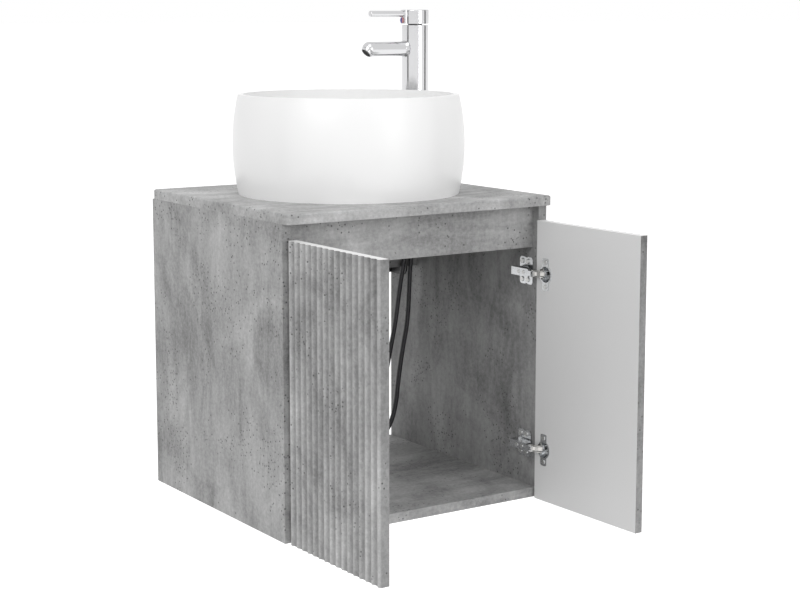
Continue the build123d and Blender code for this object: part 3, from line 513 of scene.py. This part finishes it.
# Hinges. Pressed and folded steel with a bright nickel plate: mounting plates and arms on
# the side boards, cups in the doors, and two links between them.
nickel = metal("nickel plate", (0.58, 0.59, 0.60), 0.24, grain_scale=180.0, grain_depth=0.2, spread=0.08)
link_steel = metal("link steel", (0.55, 0.54, 0.52), 0.35)
screw_steel = metal("screw steel", (0.60, 0.60, 0.59), 0.30)
for side in ("left", "right"):
    for row in ("upper", "lower"):
        finish([f"{side}_{row}_hinge_plate", f"{side}_{row}_hinge_arm", f"{side}_{row}_hinge_cup"], nickel)
        finish([f"{side}_{row}_outer_link"], link_steel)
    finish([f"{side}_inner_links"], link_steel)
    finish([f"{side}_cup_pins", f"{side}_cup_screws"], screw_steel)
finish(["hinge_plate_screws", "hinge_adjusting_screws"], screw_steel)

# Basin. Cast ceramic with a thick white gloss glaze: a bellied drum with a flat rim of
# even width and a deep round bowl, standing on a foot ring.
glaze = mottled(
    "white glaze", low=(0.895, 0.895, 0.895), high=(0.910, 0.910, 0.908), roughness=0.28, grain_scale=9.0,
    grain_detail=2.0, grain_roughness=0.4, relief=0.05, relief_height=0.0006,
)
finish(["basin"], glaze)

# Waste. Chromed brass flange and click plug in the basin, white plastic nut and tail
# below the worktop, and black rubber seals.
chrome_grey = (0.63, 0.63, 0.64)
chrome = metal("chrome plate", chrome_grey, 0.12, grain_scale=60.0, grain_depth=0.02, spread=0.02)
white_plastic = mottled(
    "white plastic", low=(0.78, 0.78, 0.77), high=(0.82, 0.82, 0.81), roughness=0.35, grain_scale=220.0,
    grain_detail=3.0, relief=0.1,
)
rubber = mottled(
    "black rubber", low=(0.014, 0.014, 0.014), high=(0.030, 0.030, 0.030), roughness=0.7, grain_scale=350.0,
    grain_detail=4.0, grain_roughness=0.6, relief=0.3,
)
finish(["waste_body", "waste_plug"], chrome)
finish(["waste_nut", "waste_tail"], white_plastic)
finish(["waste_seals", "tap_seals"], rubber)

# Mixer tap. Polished chrome body, spout, cap and lever, with a two-colour button under
# the lever and a dark aerator in the spout. A brass nut, a steel plate and a stud hold it
# under the worktop.
body_top = 0.3787
collar_black = (0.015, 0.015, 0.015)
spout_mouth = Vector((0.105, -0.111, 0.3395))
spout_slant = Vector((-1, 0, -1))
sharp_angle = math.radians(40)
button_shade = 0.8


def shaded_chrome():
    """Chrome on the tap's body, and the black cartridge collar in the seam above it."""
    material = chrome.copy()
    material.name = "chrome body and black collar"
    tree = material.node_tree
    height = add_node(tree, "ShaderNodeSeparateXYZ", {"Vector": object_pattern(tree)}).outputs["Z"]
    above = arithmetic(tree, "GREATER_THAN", height, body_top)
    paint(tree, tree.nodes["Principled BSDF"], above, chrome_grey, collar_black)
    return material


def turned(name, outline, material):
    """A piece turned from (radius, height) points, set on the spout's mouth along its slant."""
    shape = bmesh.new()
    rim = [shape.verts.new((radius, 0, height)) for radius, height in outline]
    edges = [shape.edges.new(pair) for pair in zip(rim, rim[1:])]
    bmesh.ops.spin(
        shape, geom=rim + edges, cent=(0, 0, 0), axis=(0, 0, 1), dvec=(0, 0, 0), angle=2 * math.pi, steps=48,
        use_merge=True, use_duplicate=False,
    )
    bmesh.ops.remove_doubles(shape, verts=shape.verts, dist=weld_distance)
    bmesh.ops.recalc_face_normals(shape, faces=shape.faces)
    slant = spout_slant.to_track_quat("Z", "Y").to_matrix().to_4x4()
    shape.transform(Matrix.Translation(spout_mouth) @ slant)
    mesh = bpy.data.meshes.new(name)
    shape.to_mesh(mesh)
    shape.free()
    for face in mesh.polygons:
        face.use_smooth = True
    mesh.materials.append(material)
    piece = bpy.data.objects.new(name, mesh)
    bpy.context.scene.collection.objects.link(piece)
    sharp = piece.modifiers.new("sharp edges", "EDGE_SPLIT")
    sharp.split_angle = sharp_angle
    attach(piece, "cabinet")
    return piece


def enamel_button(name, color):
    """One half of the button, in glossy enamel."""
    darker = tuple(value * button_shade for value in color)
    return mottled(name, low=darker, high=color, roughness=0.2, grain_scale=500.0, grain_detail=2.0)


# The aerator is a chromed sleeve with a bevelled mouth round a dark insert with a ring.
sleeve_ring = turned(
    "aerator_sleeve",
    [
        (0.0085, 0.0050), (0.0104, 0.0050), (0.0104, 0.0084), (0.0098, 0.0090), (0.0090, 0.0090),
        (0.0085, 0.0085), (0.0085, 0.0050),
    ],
    chrome,
)
insert = turned(
    "aerator_insert",
    [
        (0, 0.0051), (0.0084, 0.0051), (0.0084, 0.0082), (0.0066, 0.0082), (0.0062, 0.0074),
        (0.0044, 0.0074), (0.0040, 0.0080), (0.0022, 0.0080), (0.0018, 0.0074), (0, 0.0074),
    ],
    rubber,
)
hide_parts("tap_aerator")
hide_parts("tap_aerator")
brass = metal("bare brass", (0.72, 0.55, 0.26), 0.28)
finish(["tap_body"], shaded_chrome())
finish(["tap_spout", "tap_cap", "tap_lever"], chrome)
finish(["tap_stem", "tap_nut"], brass)
finish(["tap_clamp_plate", "tap_stud", "cold_hose_end", "hot_hose_end"], zinc)
finish(["tap_cold_mark"], enamel_button("cold blue", (0.004, 0.03, 0.36)))
finish(["tap_hot_mark"], enamel_button("hot red", (0.52, 0.22, 0.22)))
